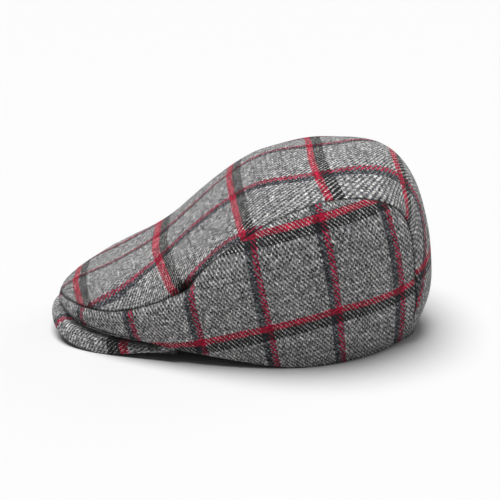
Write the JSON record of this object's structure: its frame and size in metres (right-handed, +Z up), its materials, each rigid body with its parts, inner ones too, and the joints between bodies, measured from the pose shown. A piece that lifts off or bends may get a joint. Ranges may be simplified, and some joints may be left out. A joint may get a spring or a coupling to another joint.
{
  "type": "flat cap",
  "caption": "Soft duckbill flat cap: a domed top panel seamed to side panels that form a band over a short stiff arched peak, hollow and open below.",
  "frame": {"origin": "middle of the cap's bounding box, on the plane the hem rests on", "axes": "+Z up, the front of the cap points to -Y, and the wearer's left is +X"},
  "size_m": [0.192, 0.2738, 0.1348],
  "materials": {
    "plaid_tweed": "coarse grey melange twill tweed with a red and black windowpane plaid",
    "peak_tweed": "the same tweed, drawn tight over a stiff peak board"
  },
  "bodies": {
    "root": {"top_panel": "plaid_tweed", "left_side_panel": "plaid_tweed", "right_side_panel": "plaid_tweed", "peak": "peak_tweed"}
  },
  "joints": []
}
